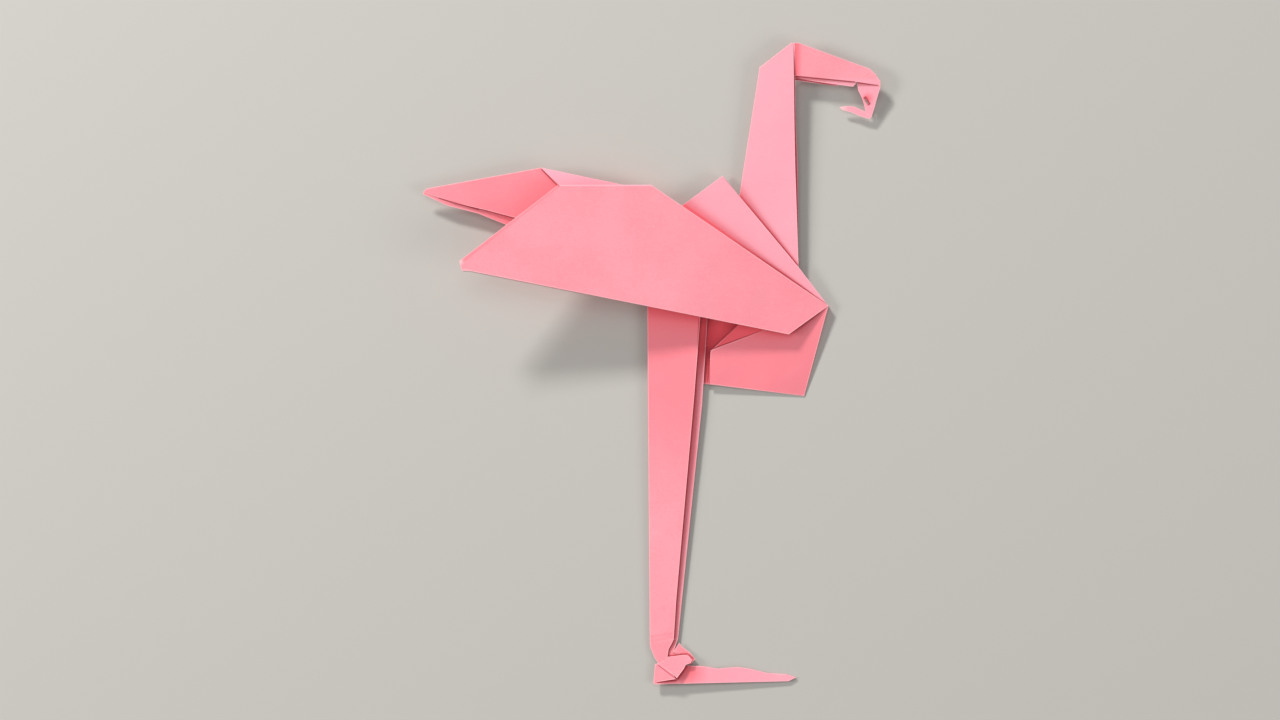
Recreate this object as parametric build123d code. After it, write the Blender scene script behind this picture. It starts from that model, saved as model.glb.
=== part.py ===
from build123d import *
import os

# A flamingo folded from one square of pink paper, lying on its side as it comes to rest.
# It is one sheet, so it is one solid: flat panels of paper that meet along folds.
# The lower wing lies flat on the table, and the upper wing springs up from the breast.
# Lengths are in millimetres. A share is a part of the flap size that it follows.
# Headings are degrees in plan, counted from the direction that the beak's side faces.

# Paper
paper_thickness = 0.1
fold_radius = 0.065

# Body: two sides under the wings, joined along the back
body_length = 62.0
body_height = 28.0
back_height_at_tail = 4.2
back_height_at_neck = 2.9
back_lip_rise = 0.35
back_lip_drop = 0.25
breast_opening = 1.25
shoulder_near_height = 3.6
shoulder_far_height = 1.2

# Wings
wing_length = 80.0
wing_width = 26.0
wing_angle = 11.25
wing_root_height = 2.7
wing_tip_height = 12.0

# Chest: the lower front of the body
chest_depth = 20.0
chest_width = 26.0
chest_point_height = 0.15
chest_corner_height = 1.5

# Tail
tail_length = 25.5
tail_width = 10.0
tail_angle = 10.5
tail_tip_height = 2.4
tail_tuck_depth = 0.8

# Neck
neck_length = 37.0
neck_width = 14.0
neck_heading = 81.0
neck_root_height = 1.7
neck_tuck_near_depth = 0.3
neck_tuck_far_depth = 0.3
neck_top_height = 3.1

# Head: the strip of the neck folded across, with its edges in three layers
head_length = 16.7
head_width = 8.0
head_angle = 20.0
head_start_share = 0.174
head_end_height = 2.6
head_layer_depth = 0.3

# Beak, folded back from the end of the head, and its turned-in tip
beak_length = 7.8
beak_width = 4.5
beak_heading = -104.0
beak_end_height = 1.2
beak_tip_length = 7.3
beak_tip_width = 1.5
beak_tip_heading = 163.0
beak_tip_height = 1.35
slit_depth = 0.4

# Leg: a long strip folded lengthwise, open on the side of the breast
leg_length = 75.0
leg_width = 11.5
leg_root_height = 1.9
leg_foot_height = 0.8
leg_near_height = 2.2
leg_far_height = 1.1

# Ankle: the strip twisted over to make the heel
ankle_length = 8.8
ankle_width = 9.8
ankle_near_height = 1.2
ankle_lobe_height = 1.9
ankle_back_height = 0.7

# Foot
foot_length = 31.0
foot_width = 4.0
heel_height = 1.2
foot_end_height = 0.45
foot_far_height = 0.12

# Directions in plan
tail_heading = 180.0
foot_heading = -90.0
toe_heading = 0.5
chest_heading = -105.0
quarter_turn = 90.0
left_hand = 1
right_hand = -1


class Flap:
    """The plan frame of a flap: along it from its root, and across it to one hand."""

    def __init__(self, root, heading, hand, length, width):
        self.root = Vector(root.X, root.Y, 0)
        self.along = Vector(1, 0, 0).rotate(Axis.Z, heading) * length
        self.across = Vector(1, 0, 0).rotate(Axis.Z, heading + hand * quarter_turn) * width

    def at(self, shares, height=0):
        """A point given in shares of the flap's length and width, at a height."""
        along_share, across_share = shares
        spot = self.root + self.along * along_share + self.across * across_share
        return Vector(spot.X, spot.Y, height)

    def on(self, plane, *outline_shares):
        """Points given in shares, raised straight up onto the plane of three points."""
        return [raised(plane, self.at(shares)) for shares in outline_shares]


def raised(plane, spot):
    """The point straight above or below a spot that lies on the plane of three points."""
    first, second, third = plane
    normal = (second - first).cross(third - first)
    rise = (normal.X * (spot.X - first.X) + normal.Y * (spot.Y - first.Y)) / normal.Z
    return Vector(spot.X, spot.Y, first.Z - rise)


def body_points():
    """The corners that the body shares with the flaps that leave it, for both sides."""
    body = Flap(Vector(0, 0, 0), tail_heading, right_hand, body_length, body_height)
    back_tail = body.at((1.005, 1.066), back_height_at_tail)
    back_neck = body.at((0.576, 0.868), back_height_at_neck)
    shared = {"flap": body, "back_tail": back_tail, "back_neck": back_neck}
    breast_heights = {"near": paper_thickness / 2 + breast_opening, "far": paper_thickness / 2}
    lips = {"near": back_lip_rise, "far": -back_lip_drop}
    for side, height in breast_heights.items():
        breast = body.at((0, 0), height)
        lip = back_tail + Vector(0, 0, lips[side])
        plane = (lip, back_neck, breast)
        names = ("tail_crease", "belly", "notch", "wing_crease")
        shares = ((0.746, 0.476), (0.664, 0.291), (0.531, 0.745), (0.306, 0.155))
        shared[side] = dict(zip(names, body.on(plane, *shares)))
        shared[side].update(breast=breast, plane=plane, lip=lip)
    near, far = shared["near"], shared["far"]
    near["chest_corner"] = body.at((0.412, -0.351), chest_corner_height)
    near["chest_notch"] = body.on(near["plane"], (0.202, 0.089))[0]
    far["chest_corner"] = body.on(far["plane"], (0.436, -0.016))[0]
    near["leg_crease"] = body.on(near["plane"], (0.433, 0.190))[0]
    far["leg_crease"] = body.on(far["plane"], (0.408, 0.179))[0]
    shoulder_heights = {"near": shoulder_near_height, "far": shoulder_far_height}
    for side, height in shoulder_heights.items():
        points = shared[side]
        shoulder_plane = (points["notch"], points["breast"], body.at((0.370, 1.006), height))
        points["shoulder"] = body.on(shoulder_plane, (0.382, 0.989), (0.370, 1.006))
        points["neck_crease"] = body.on(shoulder_plane, (0.104, 0.299))[0]
    return shared


def body_panels(body):
    """Both sides of the body, the shoulders behind the wings, and the back's narrow edge."""
    panels = [[body["near"]["lip"], body["back_neck"], body["far"]["lip"]]]
    for side, lowest in (("near", "chest_notch"), ("far", "chest_corner")):
        points = body[side]
        front = [body["back_neck"], points["notch"], points["breast"], points[lowest]]
        panels.append([points["lip"], *front, points["belly"], points["tail_crease"]])
        panels.append([points["notch"], *points["shoulder"], points["neck_crease"], points["breast"]])
    return panels


def wing_panels(body):
    """Two equal wings, each folded out from the breast along its short front edge."""
    breast = body["near"]["breast"]
    wing = Flap(breast, tail_heading - wing_angle, right_hand, wing_length, wing_width)
    root_share = (0.091, -0.299)
    tip_shares = ((0.976, -0.299), (0.992, -0.309), (1.003, -0.238), (0.782, 0.544), (0.536, 0.699))
    flat = paper_thickness / 2
    heights = {"near": (wing_root_height, wing_tip_height), "far": (flat, flat)}
    panels = []
    for side, (root_height, tip_height) in heights.items():
        breast = body[side]["breast"]
        root = wing.at(root_share, root_height)
        plane = (breast, root, wing.at(tip_shares[0], tip_height))
        panels.append([breast, root, *wing.on(plane, *tip_shares)])
        panels.append([breast, root, body[side]["wing_crease"]])
    return panels


def chest_panels(body):
    """The lower front: two sides that close to a point, the breast edge and a sloping facet."""
    near, far = body["near"], body["far"]
    chest = Flap(near["breast"], chest_heading, right_hand, chest_depth, chest_width)
    point = chest.at((1.015, 0), chest_point_height)
    near_corner = chest.on((near["chest_corner"], near["breast"], point), (1.158, 0.798))
    far_corner = chest.on((far["chest_corner"], far["breast"], point), (1.170, 0.840))
    return [
        [near["chest_corner"], near["breast"], point, *near_corner],
        [far["chest_corner"], far["breast"], point, *far_corner],
        [near["breast"], far["breast"], point],
        [near["breast"], near["chest_corner"], near["chest_notch"]],
    ]


def tail_panels(body):
    """Two tapered layers under one ridge, turned back inside the body, the nearer one tucked."""
    tail = Flap(body["back_tail"], tail_heading + tail_angle, left_hand, tail_length, tail_width)
    tip = tail.at((0.995, -0.011), tail_tip_height)
    edge_shares = {
        "near": ((0.525, 0.678), (0.774, 0.404), (1.029, 0.040)),
        "far": ((0.377, 1.075), (0.598, 0.719), (0.845, 0.425), (1.033, 0.082)),
    }
    near_crease = body["near"]["tail_crease"]
    creases = {"near": near_crease - Vector(0, 0, tail_tuck_depth), "far": body["far"]["tail_crease"]}
    panels = [[body["back_tail"], near_crease, creases["near"]]]
    for side, shares in edge_shares.items():
        plane = (body["back_tail"], creases[side], tip)
        panels.append([body["back_tail"], creases[side], *tail.on(plane, *shares), tip])
    return panels


def neck_panels(body):
    """Two layers under one fold on the tail's side, rooted between the two shoulders."""
    root = body["flap"].at((0.333, 0.540), neck_root_height)
    neck = Flap(root, neck_heading, right_hand, neck_length, neck_width)
    top = neck.at((1, 0), neck_top_height)
    edge_shares = {
        "near": ((0.461, 0.781), (0.671, 0.681), (1.152, 0.461), (1.172, 0.425)),
        "far": ((0.461, 0.825), (0.673, 0.709), (1.124, 0.489)),
    }
    tucks = {"near": -neck_tuck_near_depth, "far": neck_tuck_far_depth}
    panels = []
    for side, shares in edge_shares.items():
        crease = body[side]["neck_crease"] + Vector(0, 0, tucks[side])
        edge = neck.on((root, top, crease), *shares)
        panels.append([root, crease, *edge, top])
        panels.append([root, crease, body[side]["breast"]])
    crown = panels[0][-2]
    return panels, top, crown


def head_panels(neck_top, crown):
    """The neck folded across behind itself: three layers that share the top edge."""
    start = Vector(crown.X, crown.Y, 0) + Vector(1, 0, 0) * (head_width * head_start_share)
    head = Flap(start, -head_angle, right_hand, head_length, head_width)
    front = (neck_top, crown, head.at((1, 0), head_end_height))
    ridge_start, ridge_end, corner, brow, chin, throat, behind_neck, low = head.on(
        front,
        (0, 0), (1, 0), (1.068, 0.056), (1.179, 0.223), (1.198, 0.325), (0.892, 0.447),
        (-0.151, 1.008), (0.107, 0.870),
    )
    step = Vector(0, 0, head_layer_depth)
    middle = (ridge_start, ridge_end, low - step)
    back = (ridge_start, ridge_end, low - step - step)
    second = head.on(middle, (0.930, 0.297), (0.892, 0.461), (0.866, 0.603), (-0.104, 1.039))
    third = head.on(back, (0.783, 0.408), (0.667, 0.734), (-0.097, 1.078))
    edge = [ridge_start, ridge_end, corner, brow, chin, throat, behind_neck]
    panels = [
        [neck_top, crown, *edge],
        [ridge_start, ridge_end, *second],
        [ridge_start, ridge_end, *third],
    ]
    return panels, corner, brow


def beak_panels(corner, brow):
    """The end of the head folded back behind itself, its tip turned in, and its slit."""
    beak = Flap(brow, beak_heading, right_hand, beak_length, beak_width)
    end = beak.at((1, 0), beak_end_height)
    plane = (corner, brow, end)
    outer = beak.on(plane, (0.135, -0.063), (0.500, -0.037), (0.824, -0.023))
    inner = beak.on(
        plane,
        (0.902, 0.342), (0.731, 0.486), (0.568, 0.656), (0.391, 0.921), (0.211, 1.064), (0.006, 1.038),
    )
    tip = Flap(end, beak_tip_heading, left_hand, beak_tip_length, beak_tip_width)
    tip_plane = (inner[0], end, tip.at((1.009, 0), beak_tip_height))
    tip_outline = tip.on(
        tip_plane,
        (0.030, 0.363), (0.313, 0.420), (0.604, 0.247), (0.895, 0.271),
        (1.009, 0), (0.811, -0.415), (0.591, -0.682),
    )
    slit = beak.on(
        plane, (0.560, 0.540), (0.556, 0.472), (0.658, 0.298), (0.697, 0.331), (0.610, 0.488)
    )
    panels = [[corner, brow, *outer, end, *inner], [inner[0], end, *tip_outline]]
    return panels, slit


def leg_panels(body):
    """Two tapered layers under one fold, rooted on the belly edges of the body."""
    root = body["flap"].at((0.633, 0.078), leg_root_height)
    leg = Flap(root, foot_heading, left_hand, leg_length, leg_width)
    shin = leg.at((1.008, 0.049), leg_foot_height)
    near_plane = (root, shin, leg.at((0.067, 0.998), leg_near_height))
    far_plane = (root, shin, leg.at((0.069, 1.153), leg_far_height))
    near_edge = leg.on(near_plane, (0.026, 1.013), (0.288, 0.883), (0.881, 0.543), (0.995, 0.495))
    far_edge = leg.on(far_plane, (0.026, 1.149), (0.316, 1.030), (0.881, 0.650), (0.994, 0.577))
    panels = []
    for side, edge in (("near", near_edge), ("far", far_edge)):
        points = body[side]
        panels.append([root, *edge, shin])
        panels.append([root, edge[0], points["leg_crease"]])
        panels.append([root, points["leg_crease"], points["belly"]])
    return panels, shin, near_edge[-1], far_edge[-1]


def ankle_panels(shin, near_corner, far_corner):
    """The leg twisted over itself: a lobe in front, a strip and a heel behind it."""
    ankle = Flap(shin, foot_heading, left_hand, ankle_length, ankle_width)
    near_plane = (shin, near_corner, ankle.at((0.510, 0.335), ankle_near_height))
    near_edge = ankle.on(near_plane, (0.010, 0.475), (0.133, 0.410), (0.331, 0.384), (0.425, 0.317))
    fold_end, spine_low, spine = ankle.on(near_plane, (0.487, 0.180), (0.343, 0.095), (0.133, 0.022))
    notch = near_edge[-1]
    lobe_plane = (notch, fold_end, ankle.at((0.850, 0.590), ankle_lobe_height))
    lobe = ankle.on(
        lobe_plane,
        (0.324, 0.390), (0.272, 0.752), (0.301, 0.854), (0.405, 0.927), (0.477, 0.898),
        (0.519, 0.787), (0.610, 0.752), (0.734, 0.670), (0.850, 0.590), (0.735, 0.500),
    )
    lobe_low = lobe[-1]
    far_plane = (shin, far_corner, spine)
    strip = ankle.on(far_plane, (0.085, 0.557), (0.172, 0.523), (0.210, 0.645))
    turn_out, turn_in = ankle.on(far_plane, (0.215, 0.879), (0.308, 0.790))
    strip_back = ankle.on(far_plane, (0.408, 0.368))
    back_plane = (turn_out, turn_in, ankle.at((0, 0.648), ankle_back_height))
    back = ankle.on(back_plane, (0.210, 0.501), (-0.020, 0.648), (0.075, 0.706))
    side_lobe = ankle.on(back_plane, (0.380, 1.003), (0.520, 0.903), (0.510, 0.700))
    panels = [
        [shin, near_corner, *near_edge, fold_end, spine_low, spine],
        [fold_end, notch, *lobe],
        [shin, far_corner, *strip, turn_out, turn_in, *strip_back, spine],
        [*back, turn_out, turn_in],
        [turn_out, *side_lobe, turn_in],
    ]
    return panels, ankle, fold_end, lobe_low


def foot_panels(ankle, fold_end, lobe_low):
    """The heel below the lobe, and the foot folded along its sole."""
    heel = ankle.at((0.960, 0.078), heel_height)
    heel_plane = (fold_end, lobe_low, heel)
    heel_top, heel_front = ankle.on(heel_plane, (0.505, 0.115), (0.870, 0.570))
    foot = Flap(heel, toe_heading, left_hand, foot_length, foot_width)
    sole_end = foot.at((0.945, 0), foot_end_height)
    near_plane = (heel, heel_top, sole_end)
    far_plane = (heel, sole_end, foot.at((0.35, 0.850), foot_far_height))
    sole = foot.on(near_plane, (0.008, -0.100))
    toe_shares = (
        (1.000, 0.210), (0.928, 0.383), (0.798, 0.460), (0.672, 0.700),
        (0.588, 0.800), (0.455, 0.715), (0.350, 0.850), (0.221, 0.920),
    )
    near_toe = foot.on(near_plane, *toe_shares)
    far_toe = foot.on(far_plane, *toe_shares)
    return [
        [fold_end, lobe_low, heel_front, heel, heel_top],
        [heel, *sole, sole_end, *near_toe, heel_top],
        [heel, sole_end, *far_toe],
    ]


def all_panels():
    """Every flat panel of the sheet, as corners of its middle surface, and the beak's slit."""
    body = body_points()
    neck, neck_top, crown = neck_panels(body)
    head, corner, brow = head_panels(neck_top, crown)
    beak, slit = beak_panels(corner, brow)
    leg, shin, near_corner, far_corner = leg_panels(body)
    ankle, ankle_flap, fold_end, lobe_low = ankle_panels(shin, near_corner, far_corner)
    panels = [
        *body_panels(body),
        *wing_panels(body),
        *chest_panels(body),
        *tail_panels(body),
        *neck,
        *head,
        *beak,
        *leg,
        *ankle,
        *foot_panels(ankle_flap, fold_end, lobe_low),
    ]
    return panels, slit


def panel_normal(points):
    """The unit normal of a flat outline."""
    total = Vector(0, 0, 0)
    for second, third in zip(points[1:], points[2:]):
        total += (second - points[0]).cross(third - points[0])
    return total.normalized()


def flat_piece(points, thickness):
    """A flat piece with its thickness split evenly about the outline."""
    normal = panel_normal(points)
    under_side = [point - normal * (thickness / 2) for point in points]
    return Solid.extrude(Face(Wire.make_polygon(under_side)), normal * thickness)


def shared_edges(panels):
    """The edges that two or more panels have in common: the folds of the sheet."""
    users = {}
    for points in panels:
        for start, end in zip(points, points[1:] + points[:1]):
            ends = frozenset((tuple(start), tuple(end)))
            users.setdefault(ends, []).append((start, end))
    return [edges[0] for edges in users.values() if len(edges) > 1]


def fold_rim(start, end):
    """The rounded rim of a pressed fold."""
    return Solid.make_cylinder(fold_radius, (end - start).length, Plane(start, z_dir=end - start))


def lies_flat(start, end):
    """Whether a fold is pressed against the table, where it has no rim."""
    return max(start.Z, end.Z) < fold_radius


panels, slit = all_panels()
sheets = [flat_piece(points, paper_thickness) for points in panels]
rims = [fold_rim(*fold) for fold in shared_edges(panels) if not lies_flat(*fold)]
folded = sheets[0].fuse(*sheets[1:], *rims) - flat_piece(slit, slit_depth)
# The sheet is the largest solid, because the fuse can leave empty slivers beside it.
flamingo = max(folded.solids(), key=lambda piece: piece.volume)
flamingo = flamingo.split(Plane.XY, keep=Keep.TOP)
footprint = flamingo.bounding_box()
flamingo = flamingo.moved(Location((-footprint.center().X, -footprint.center().Y, 0)))

os.makedirs("parts", exist_ok=True)
export_step(flamingo, "parts/folded_sheet.step")
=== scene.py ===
import math
from typing import NamedTuple

import bpy
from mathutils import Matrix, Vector


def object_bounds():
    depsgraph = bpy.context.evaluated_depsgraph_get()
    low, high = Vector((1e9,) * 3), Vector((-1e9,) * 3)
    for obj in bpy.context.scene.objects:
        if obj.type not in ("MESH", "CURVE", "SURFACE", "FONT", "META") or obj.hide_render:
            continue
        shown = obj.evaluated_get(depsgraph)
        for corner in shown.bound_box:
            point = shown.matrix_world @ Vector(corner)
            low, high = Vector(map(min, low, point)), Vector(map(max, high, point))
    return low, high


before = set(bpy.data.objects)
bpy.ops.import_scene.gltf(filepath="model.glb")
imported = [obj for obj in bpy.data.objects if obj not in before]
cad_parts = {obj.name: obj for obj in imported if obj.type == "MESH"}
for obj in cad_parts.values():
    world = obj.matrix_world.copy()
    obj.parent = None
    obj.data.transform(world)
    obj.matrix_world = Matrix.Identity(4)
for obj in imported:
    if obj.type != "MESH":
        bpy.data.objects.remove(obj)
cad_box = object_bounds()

scene = bpy.context.scene
MM = 0.001

# The photograph's frame in the part's own plane, and the camera straight above it.
PHOTO_WIDTH = 1280
PIXELS_PER_MM = 4.6
VIEW_WIDTH = PHOTO_WIDTH / PIXELS_PER_MM * MM
VIEW_CENTRE = (-2.53 * MM, 0.80 * MM)
CAMERA_HEIGHT = 1.8
CAMERA_SENSOR = 36.0
CAMERA_NEAREST, CAMERA_FURTHEST = 0.01, 20.0

# Each lamp's name, its place and size in metres, its power in watts and its colour.
LAMPS = [
    ("window", (-0.62, 1.04, 0.52), (0.24, 0.12), 18.0, (1.0, 0.985, 0.96)),
    ("side_window", (-1.15, 0.10, 0.60), (0.40, 0.30), 7.0, (1.0, 0.985, 0.96)),
    ("east_fill", (1.00, -0.35, 0.75), (0.60, 0.60), 3.8, (1.0, 0.985, 0.965)),
    ("ceiling", (-0.3, 0.8, 2.0), (1.5, 0.8), 8.0, (1.0, 0.99, 0.975)),
]
ROOM_COLOUR = (1.0, 0.985, 0.965)
ROOM_STRENGTH = 0.28

TABLE_COLOUR = (0.50, 0.49, 0.465)
TABLE_ROUGHNESS = 0.85
TABLE_SPECULAR = 0.2
TABLE_HALF_SIDE = 3.0

# The paper's colours and its painted light and shade, in linear red, green and blue.
BASE_PINK = (0.962, 0.340, 0.410)
CLOUD_PINK = (0.950, 0.305, 0.373)
GRAIN_PINK = (0.930, 0.262, 0.328)
FIBRE_PINK = (0.980, 0.400, 0.465)
# Painted highlight: a paler pink for flaps drawn as if they catch more light.
PAINTED_LIGHT_PINK = (0.985, 0.415, 0.520)
# Painted highlight: a pale pink for the back strip, as where it catches the light.
PAINTED_BACK_LIGHT_PINK = (0.985, 0.450, 0.560)
# Painted shade: a deeper pink for flaps in the wing's shadow or turned from the light.
PAINTED_SHADE_PINK = (0.925, 0.200, 0.245)
# Painted shade: a dark red for creases, the head's root, the foot's root, the beak's dent and the
# facet under the wing.
PAINTED_CREASE_SHADE_RED = (0.900, 0.094, 0.125)
# Painted shade: a near-black red for the shadowed gaps between layers.
PAINTED_GAP_SHADE_RED = (0.620, 0.028, 0.045)
# Painted shadow: a dark red for lines along folds where one layer lies close above another.
PAINTED_FOLD_SHADOW_RED = (0.380, 0.018, 0.036)
WORN_PINK = (0.990, 0.680, 0.690)
# Painted shade: a redder pink where the part's own layers shelter the paper.
PAINTED_RECESS_SHADE_RED = (0.930, 0.115, 0.150)
# Painted shadow: a dark red where one layer lies just above another.
PAINTED_CONTACT_SHADOW_RED = (0.450, 0.012, 0.030)
# Painted highlight on the fold rims where they catch the light, partly worn fibres too.
RIM_HIGHLIGHT_PINK = (0.990, 0.520, 0.570)

PAPER_ROUGHNESS = 0.72
PAPER_SPECULAR = 0.30
PAPER_SHEEN = 0.08
PAPER_SHEEN_ROUGHNESS = 0.5

# The paper's noises: scale per metre, detail, roughness and, for the fibres, distortion.
CLOUDS = (90.0, 3.0, 0.55)
SPECKS = (2600.0, 4.0, 0.65)
FIBRES = (900.0, 5.0, 0.7, 1.6)
WAVES = (55.0, 1.5, 0.45)
FIBRE_STRETCH = (1.0, 3.4, 1.0)
FIBRE_TURN = (0.0, 0.0, math.radians(37))

# The range of a value over which a tone comes in or goes out, and its share at each end.
CLOUD_SHARE = (0.35, 0.65, 0.0, 1.0)
PALE_FIBRE_SHARE = (0.48, 0.70, 0.0, 0.75)
PALE_SPECK_SHARE = (0.56, 0.70, 0.0, 0.50)
DARK_SPECK_SHARE = (0.46, 0.32, 0.0, 0.50)
RECESS_SHARE = (0.97, 0.58, 0.0, 0.80)
CONTACT_SHARE = (0.90, 0.58, 0.0, 0.95)
RIM_SHARE = (0.998, 0.90, 0.0, 0.85)
RIM_LEFT_BY_LINE = (0.0, 0.6, 1.0, 0.25)

# How far off a layer still shelters a place, how far a rim reaches from its fold, and the
# samples of each.
RECESS_REACH, RECESS_SAMPLES = 12.0 * MM, 16
CONTACT_REACH, CONTACT_SAMPLES = 1.6 * MM, 12
RIM_RADIUS, RIM_SAMPLES = 0.30 * MM, 8

# The relief: how much of the grain is fibre and speck, and each bump's strength and depth.
FIBRE_PART, SPECK_PART = 0.6, 0.4
GRAIN_BUMP = (0.25, 0.04 * MM)
WAVE_BUMP = (0.5, 1.6 * MM)


class Tone(NamedTuple):
    """A tone on one place of the sheet, in millimetres in plan.

    The outline is convex and turns left around the place, and an open one has no limit on its
    open side. fade is a line that the tone fades out across, from its left to its right, and how
    far the fade reaches to each side. spot is a centre and the radius where the tone ends.
    """

    outline: list
    strength: float
    blur: float = 0.05
    fade: tuple = None
    spot: tuple = None


class Stroke(NamedTuple):
    """A straight line on the sheet, in millimetres in plan."""

    start: tuple
    end: tuple
    strength: float
    width: float = 0.24
    blur: float = 0.07


class Spot(NamedTuple):
    """A round spot on the sheet, strongest in its middle, in millimetres in plan."""

    centre: tuple
    radius: float
    strength: float


TAIL = [(-41.0, 21.5), (-19.8, 38.4), (-23.9, 42.5)]
BACK = [(-23.9, 42.5), (-19.8, 38.45), (1.0, 38.45), (1.0, 45.0)]
NECK_TOP = [(31.1, 50.0), (31.1, 75.0), (0.0, 75.0), (0.0, 50.0), (31.1, 50.0)]
NECK_AND_SHOULDER = [(0.3, 38.4), (38.6, 12.5), (38.6, 56.0), (0.3, 56.0)]
HEAD_ROOT = [(31.03, 72.0), (31.12, 62.2), (40.0, 62.2)]
HEAD_CREASE = [(45.9, 62.2), (47.5, 63.0), (47.4, 63.15), (45.8, 62.35), (45.9, 62.2)]
BEAK = [(60.0, 55.0), (60.0, 61.3), (38.0, 62.1), (38.0, 50.0)]
WING_FRONT = [(-20.0, 16.1), (30.0, 6.5), (38.6, 12.5), (0.3, 38.4)]
CHEST_UNDER_WING = [(11.4, 9.87), (11.4, -12.2), (60.0, -12.2), (60.0, 0.54), (11.4, 9.87)]
CHEST_BEFORE_WING = [(30.1, 6.7), (30.1, -12.2), (60.0, -12.2), (60.0, 27.4), (30.1, 6.7)]
FACET = [(12.8, 3.0), (24.59, 7.34), (10.3, 10.08), (12.8, 3.0)]
BODY_STRIP = [(12.8, 3.0), (18.86, 8.44), (10.1, 10.12), (9.9, 3.0), (12.8, 3.0)]
LEG_GAP = [(10.1, 10.12), (9.7, -20.0), (12.6, -20.0), (12.8, 9.6), (10.1, 10.12)]
LEG_UNDER_WING = [(9.7, -20.0), (10.1, 10.12), (-20.0, 15.9)]
LEG_CREASE = [(-0.2, -59.4), (4.6, -58.6), (4.6, -58.4), (-0.2, -59.2), (-0.2, -59.4)]
ANKLE = [(-4.0, -70.0), (8.0, -70.0), (8.0, -59.5), (-4.0, -59.5)]
FOOT = [(8.5, -72.0), (60.0, -72.0), (60.0, -60.0), (11.0, -60.0), (8.5, -72.0)]
FOOT_ROOT = [(7.75, -65.3), (5.6, -68.6)]

WING_FRONT_FADE = ((12.5, 40.0), (12.5, 0.0), 8.0)
LEG_UNDER_WING_FADE = ((0.0, -20.0), (10.0, -20.0), 13.5)
GAP_FADE = ((0.0, -0.5), (10.0, -0.5), 3.5)
HEAD_ROOT_FADE = ((31.9, 62.0), (31.9, 72.0), 0.8)

# Painted highlight: the neck, shoulder, beak and foot drawn paler, as where they catch more light.
PAINTED_LIGHT_FLAPS = [
    Tone(NECK_TOP, 0.55),
    Tone(NECK_AND_SHOULDER, 0.55),
    Tone(BEAK, 0.45, blur=0.3),
    Tone(FOOT, 0.45, blur=0.3),
]
# Painted highlight: the back strip drawn paler, as where it catches the light.
PAINTED_BACK_LIGHT = [Tone(BACK, 1.0)]
# Painted shade: the tail, chest, leg top, wing front and ankle drawn deeper, for the wing's shadow
# and flaps turned from the light.
PAINTED_SHADE_FLAPS = [
    Tone(TAIL, 0.42),
    Tone(CHEST_UNDER_WING, 0.68),
    Tone(CHEST_BEFORE_WING, 0.68),
    Tone(LEG_UNDER_WING, 0.68, fade=LEG_UNDER_WING_FADE),
    Tone(WING_FRONT, 0.22, fade=WING_FRONT_FADE),
    Tone(ANKLE, 0.30, blur=1.0),
]
# Painted shade: dark red at the head's root beside the neck, the foot's root below the lobe, two
# creases and the recessed facet under the wing.
PAINTED_CREASE_SHADES = [
    Tone(HEAD_ROOT, 0.80, blur=0.03, fade=HEAD_ROOT_FADE),
    Tone(FOOT_ROOT, 0.65, blur=0.1, spot=((8.5, -66.8), 4.2)),
    Tone(LEG_CREASE, 0.28, blur=0.07),
    Tone(HEAD_CREASE, 0.28, blur=0.07),
    Tone(FACET, 0.88),
]
# Painted shade: a dark red spot in the beak's dent.
PAINTED_BEAK_DENT_SHADES = [Spot((46.9, 57.6), 1.5, 0.75)]
# Painted shade: near-black red in the shadowed gaps between the leg and the body.
PAINTED_GAP_SHADES = [
    Tone(BODY_STRIP, 0.92, fade=GAP_FADE),
    Tone(LEG_GAP, 0.92, fade=GAP_FADE),
]
WORN_TIPS = [
    Spot((-41.4, 22.0), 1.0, 0.9),
    Spot((40.9, 55.7), 1.9, 0.9),
    Spot((27.9, -66.3), 1.7, 0.9),
]

# Flaps where the painted recess shade is fainter, so they keep more of their own tone under other
# layers.
FAINTER_RECESS_SHADE_FLAPS = [Tone(BACK, 0.85), Tone(TAIL, 0.62)]

# Painted shadow lines where one layer lies close above another. The last is painted shade in the
# rim of the beak's slit.
PAINTED_FOLD_SHADOWS = [
    Stroke((31.3, 62.42), (44.2, 61.17), 0.95),
    Stroke((44.4, 61.10), (49.2, 60.40), 0.85),
    Stroke((31.3, 61.97), (40.3, 60.20), 0.85),
    Stroke((15.6, 40.50), (31.9, 21.30), 0.45),
    Stroke((6.9, 34.60), (38.1, 12.90), 0.45),
    Stroke((-23.85, 42.15), (-20.0, 38.40), 0.55),
    Stroke((-46.2, 35.95), (-37.5, 33.45), 0.80),
    Stroke((12.9, 3.12), (24.5, 7.40), 0.85),
    Stroke((13.3, 3.40), (18.9, 8.42), 0.75),
    Stroke((12.6, 3.00), (12.5, -4.60), 0.70),
    Stroke((3.7, -63.55), (7.9, -63.00), 0.75),
    Stroke((7.9, -63.00), (9.1, -64.10), 0.60),
    Stroke((1.4, -65.50), (5.3, -68.40), 0.70),
    Stroke((7.9, -65.30), (5.7, -68.70), 0.60),
    Stroke((1.2, -69.25), (5.5, -68.90), 0.70),
    Stroke((46.25, 57.95), (47.30, 56.20), 0.90, width=0.70, blur=0.14),
]


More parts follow.
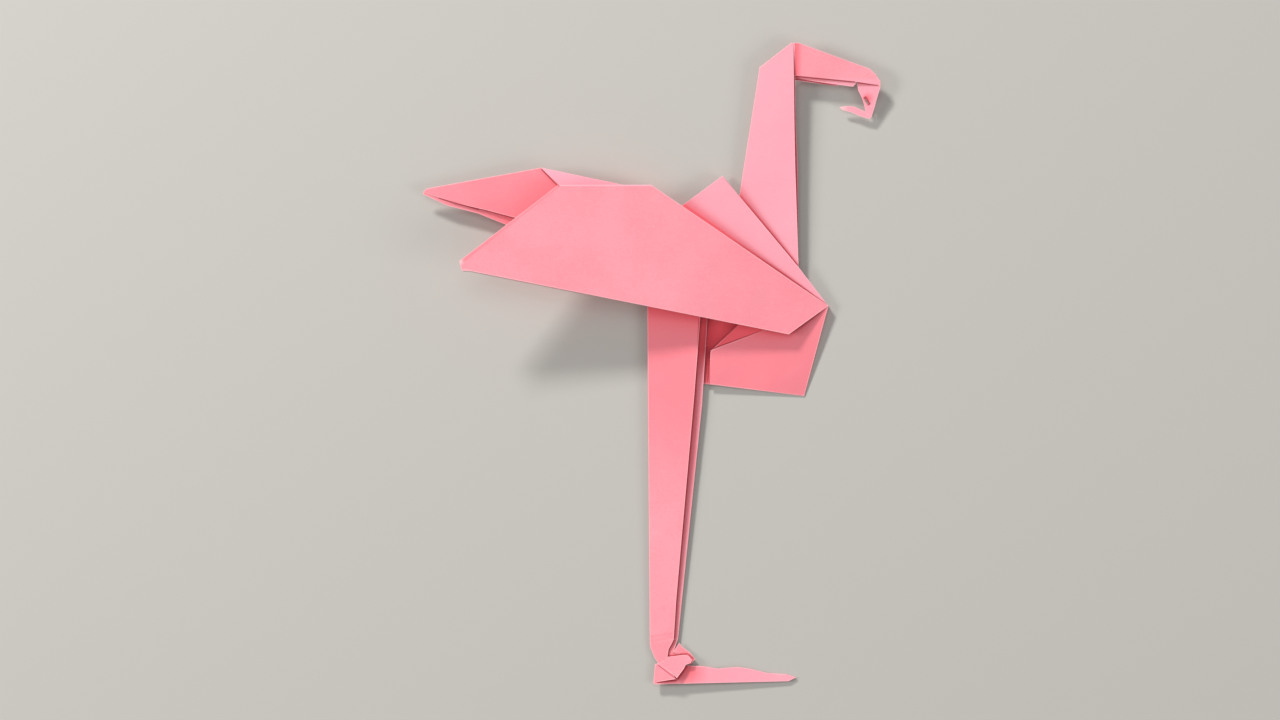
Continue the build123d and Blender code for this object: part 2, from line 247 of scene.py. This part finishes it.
class Shader:
    """A node tree that is built by short calls, so that each material reads as a list of layers."""

    def __init__(self, name):
        self.material = bpy.data.materials.new(name)
        self.material.use_nodes = True
        self.nodes = self.material.node_tree.nodes
        self.links = self.material.node_tree.links
        self.nodes.clear()

    def add(self, kind, inputs=None, **settings):
        """A new node. An input that is another node's output is linked, and any other is set."""
        node = self.nodes.new(kind)
        for name, value in settings.items():
            setattr(node, name, value)
        for name, value in (inputs or {}).items():
            if isinstance(value, bpy.types.NodeSocket):
                self.links.new(value, node.inputs[name])
            else:
                node.inputs[name].default_value = value
        return node

    def finish(self, inputs):
        """Ends the tree in one surface with these inputs, and gives the material."""
        surface = self.add("ShaderNodeBsdfPrincipled", inputs)
        self.add("ShaderNodeOutputMaterial", {"Surface": surface.outputs["BSDF"]})
        return self.material

    def noise(self, place, scale, detail, roughness, distortion=0.0):
        inputs = {
            "Vector": place,
            "Scale": scale,
            "Detail": detail,
            "Roughness": roughness,
            "Distortion": distortion,
        }
        return self.add("ShaderNodeTexNoise", inputs).outputs["Fac"]

    def spread(self, value, low, high, low_out, high_out):
        """low_out at low and short of it, high_out at high and past it, and even between."""
        inputs = {
            "Value": value,
            "From Min": low,
            "From Max": high,
            "To Min": low_out,
            "To Max": high_out,
        }
        return self.add("ShaderNodeMapRange", inputs, clamp=True).outputs["Result"]

    def math(self, operation, first, second):
        return self.add("ShaderNodeMath", {0: first, 1: second}, operation=operation).outputs[0]

    def vector_math(self, operation, first, second):
        return self.add("ShaderNodeVectorMath", {0: first, 1: second}, operation=operation)

    def product(self, values):
        result, *others = values
        for value in others:
            result = self.math("MULTIPLY", result, value)
        return result

    def largest(self, values):
        result, *others = values
        for value in others:
            result = self.math("MAXIMUM", result, value)
        return result

    def mix(self, share, first, second):
        """The first colour, with the second over it by its share."""
        node = self.add("ShaderNodeMix", {"Factor": share}, data_type="RGBA")
        for name, value in (("A", first), ("B", second)):
            socket = next(s for s in node.inputs if s.name == name and s.type == "RGBA")
            if isinstance(value, tuple):
                socket.default_value = (*value, 1.0)
            else:
                self.links.new(value, socket)
        return next(s for s in node.outputs if s.type == "RGBA")

    def bump(self, height, strength, distance):
        inputs = {"Height": height, "Strength": strength, "Distance": distance}
        return self.add("ShaderNodeBump", inputs)

    def beyond(self, place, start, end, blur):
        """1 to the left of the plan line from start to end, and 0 to its right."""
        run = Vector(end) - Vector(start)
        normal = Vector((-run.y, run.x)).normalized()
        across = self.vector_math("DOT_PRODUCT", place, (normal.x, normal.y, 0.0))
        reach = normal.dot(Vector(start)) * MM
        low, high = reach - blur * MM, reach + blur * MM
        return self.spread(across.outputs["Value"], low, high, 0.0, 1.0)

    def patch(self, place, outline, blur):
        """1 inside a plan outline that turns left, and 0 outside it."""
        sides = zip(outline, outline[1:])
        return self.product([self.beyond(place, start, end, blur) for start, end in sides])

    def ball(self, place, centre, radius):
        """1 at a plan point, fading to 0 at a radius from it."""
        plan = self.vector_math("MULTIPLY", place, (1.0, 1.0, 0.0)).outputs["Vector"]
        middle = (centre[0] * MM, centre[1] * MM, 0.0)
        away = self.vector_math("DISTANCE", plan, middle)
        return self.spread(away.outputs["Value"], 0.0, radius * MM, 1.0, 0.0)

    def tones(self, place, tones):
        """The strongest of several tones at each point."""
        masks = []
        for tone in tones:
            factors = [self.patch(place, tone.outline, tone.blur), tone.strength]
            if tone.fade:
                factors.append(self.beyond(place, *tone.fade))
            if tone.spot:
                factors.append(self.ball(place, *tone.spot))
            masks.append(self.product(factors))
        return self.largest(masks)

    def strokes(self, place, strokes):
        """The strongest of several strokes at each point."""
        masks = []
        for stroke in strokes:
            start, end = Vector(stroke.start), Vector(stroke.end)
            run = end - start
            side = Vector((-run.y, run.x)).normalized() * (stroke.width / 2)
            outline = [start - side, end - side, end + side, start + side, start - side]
            masks.append(self.product([self.patch(place, outline, stroke.blur), stroke.strength]))
        return self.largest(masks)

    def spots(self, place, spots):
        """The strongest of several spots at each point."""
        return self.largest([
            self.product([self.ball(place, spot.centre, spot.radius), spot.strength])
            for spot in spots
        ])


def grain_colour(shader, fibre, speck, cloud):
    """Dyed paper with faint clouds, pale fibres, and pale and dark specks."""
    colour = shader.mix(shader.spread(cloud, *CLOUD_SHARE), CLOUD_PINK, BASE_PINK)
    colour = shader.mix(shader.spread(fibre, *PALE_FIBRE_SHARE), colour, FIBRE_PINK)
    colour = shader.mix(shader.spread(speck, *PALE_SPECK_SHARE), colour, FIBRE_PINK)
    return shader.mix(shader.spread(speck, *DARK_SPECK_SHARE), colour, GRAIN_PINK)


def painted_flap_light_and_shade(shader, place, colour):
    """Painted light and shade: paler flaps that catch the light, deeper flaps in shadow, and
    painted shade in creases and gaps.
    """
    colour = shader.mix(shader.tones(place, PAINTED_LIGHT_FLAPS), colour, PAINTED_LIGHT_PINK)
    colour = shader.mix(shader.tones(place, PAINTED_BACK_LIGHT), colour, PAINTED_BACK_LIGHT_PINK)
    colour = shader.mix(shader.tones(place, PAINTED_SHADE_FLAPS), colour, PAINTED_SHADE_PINK)
    crease_shade = [shader.tones(place, PAINTED_CREASE_SHADES), shader.spots(place, PAINTED_BEAK_DENT_SHADES)]
    colour = shader.mix(shader.largest(crease_shade), colour, PAINTED_CREASE_SHADE_RED)
    return shader.mix(shader.tones(place, PAINTED_GAP_SHADES), colour, PAINTED_GAP_SHADE_RED)


def shelter(shader, reach, samples):
    """1 on open paper, and less where the part's own layers stand within reach."""
    node = shader.add(
        "ShaderNodeAmbientOcclusion", {"Distance": reach}, samples=samples, only_local=True)
    return node.outputs["AO"]


def painted_recess_shade(shader, place, colour):
    """Painted shade: redder paper far under other layers, and a painted shadow where two layers
    meet, both from ambient occlusion.
    """
    recess_shade = shader.spread(shelter(shader, RECESS_REACH, RECESS_SAMPLES), *RECESS_SHARE)
    recess_shade_kept = shader.math("SUBTRACT", 1.0, shader.tones(place, FAINTER_RECESS_SHADE_FLAPS))
    colour = shader.mix(shader.product([recess_shade, recess_shade_kept]), colour, PAINTED_RECESS_SHADE_RED)
    # Painted shadow where one layer lies just above another.
    contact_shadow = shader.spread(shelter(shader, CONTACT_REACH, CONTACT_SAMPLES), *CONTACT_SHARE)
    return shader.mix(contact_shadow, colour, PAINTED_CONTACT_SHADOW_RED)


def painted_rim_highlight(shader, fold_shadows, colour):
    """Painted highlight, partly wear: paler rims on the folds, except where a painted fold shadow
    runs.
    """
    bevel = shader.add("ShaderNodeBevel", {"Radius": RIM_RADIUS}, samples=RIM_SAMPLES)
    geometry = shader.add("ShaderNodeNewGeometry")
    turn = shader.vector_math(
        "DOT_PRODUCT", bevel.outputs["Normal"], geometry.outputs["Normal"])
    rim_highlight = shader.spread(turn.outputs["Value"], *RIM_SHARE)
    rim_highlight = shader.product([rim_highlight, shader.spread(fold_shadows, *RIM_LEFT_BY_LINE)])
    return shader.mix(rim_highlight, colour, RIM_HIGHLIGHT_PINK)


def paper_relief(shader, place, fibre, speck):
    """The grain of the fibres and specks, over faint waves in the sheet."""
    fibres = shader.product([fibre, FIBRE_PART])
    specks = shader.product([speck, SPECK_PART])
    grain = shader.bump(shader.math("ADD", fibres, specks), *GRAIN_BUMP)
    waves = shader.bump(shader.noise(place, *WAVES), *WAVE_BUMP)
    shader.links.new(waves.outputs["Normal"], grain.inputs["Normal"])
    return grain.outputs["Normal"]


def paper_material():
    """Matt dyed craft paper: fine fibres, faint clouding and worn tips, with painted highlights on
    some flaps and on the fold rims (these partly wear too), and painted shade and shadow in
    recesses, creases, gaps and under the wing.
    """
    shader = Shader("pink_paper")
    place = shader.add("ShaderNodeTexCoord").outputs["Object"]
    cloud = shader.noise(place, *CLOUDS)
    speck = shader.noise(place, *SPECKS)
    fibre_inputs = {"Vector": place, "Scale": FIBRE_STRETCH, "Rotation": FIBRE_TURN}
    fibre_place = shader.add("ShaderNodeMapping", fibre_inputs).outputs["Vector"]
    fibre = shader.noise(fibre_place, *FIBRES)

    colour = grain_colour(shader, fibre, speck, cloud)
    colour = painted_flap_light_and_shade(shader, place, colour)
    # Painted shadow lines along the folds.
    fold_shadows = shader.strokes(place, PAINTED_FOLD_SHADOWS)
    colour = shader.mix(fold_shadows, colour, PAINTED_FOLD_SHADOW_RED)
    colour = shader.mix(shader.spots(place, WORN_TIPS), colour, WORN_PINK)
    # Painted shade and shadow from ambient occlusion.
    colour = painted_recess_shade(shader, place, colour)
    # Painted highlight on the fold rims, partly wear.
    colour = painted_rim_highlight(shader, fold_shadows, colour)
    return shader.finish({
        "Base Color": colour,
        "Roughness": PAPER_ROUGHNESS,
        "Specular IOR Level": PAPER_SPECULAR,
        "Sheen Weight": PAPER_SHEEN,
        "Sheen Roughness": PAPER_SHEEN_ROUGHNESS,
        "Normal": paper_relief(shader, place, fibre, speck),
    })


def table_material():
    """A plain pale matt table top."""
    return Shader("table_top").finish({
        "Base Color": (*TABLE_COLOUR, 1.0),
        "Roughness": TABLE_ROUGHNESS,
        "Specular IOR Level": TABLE_SPECULAR,
    })


def add_floor():
    low = min(cad_box[0].z, 0.0)
    half = TABLE_HALF_SIDE
    corners = [(-half, -half, low), (half, -half, low), (half, half, low), (-half, half, low)]
    mesh = bpy.data.meshes.new("floor")
    mesh.from_pydata(corners, [], [(0, 1, 2, 3)])
    mesh.materials.append(table_material())
    floor = bpy.data.objects.new("floor", mesh)
    scene.collection.objects.link(floor)


def add_lamp(name, place, size, power, colour):
    """A soft lamp that points at the middle of the part."""
    data = bpy.data.lights.new(name, "AREA")
    data.shape = "RECTANGLE"
    data.size, data.size_y = size
    data.energy = power
    data.color = colour
    lamp = bpy.data.objects.new(name, data)
    lamp.location = place
    lamp.rotation_mode = "QUATERNION"
    lamp.rotation_quaternion = (-Vector(place)).to_track_quat("-Z", "Y")
    scene.collection.objects.link(lamp)


def add_room():
    world = bpy.data.worlds.new("room")
    world.use_nodes = True
    background = world.node_tree.nodes["Background"]
    background.inputs["Color"].default_value = (*ROOM_COLOUR, 1.0)
    background.inputs["Strength"].default_value = ROOM_STRENGTH
    scene.world = world


def add_camera():
    data = bpy.data.cameras.new("camera")
    data.sensor_width = CAMERA_SENSOR
    data.lens = CAMERA_SENSOR * CAMERA_HEIGHT / VIEW_WIDTH
    data.clip_start, data.clip_end = CAMERA_NEAREST, CAMERA_FURTHEST
    camera = bpy.data.objects.new("camera", data)
    camera.location = (*VIEW_CENTRE, CAMERA_HEIGHT)
    scene.collection.objects.link(camera)
    scene.camera = camera


paper = paper_material()
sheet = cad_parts["folded_sheet"]
sheet.data.materials.clear()
sheet.data.materials.append(paper)

add_floor()
for lamp in LAMPS:
    add_lamp(*lamp)
add_room()
add_camera()

scene.view_settings.view_transform = "Standard"
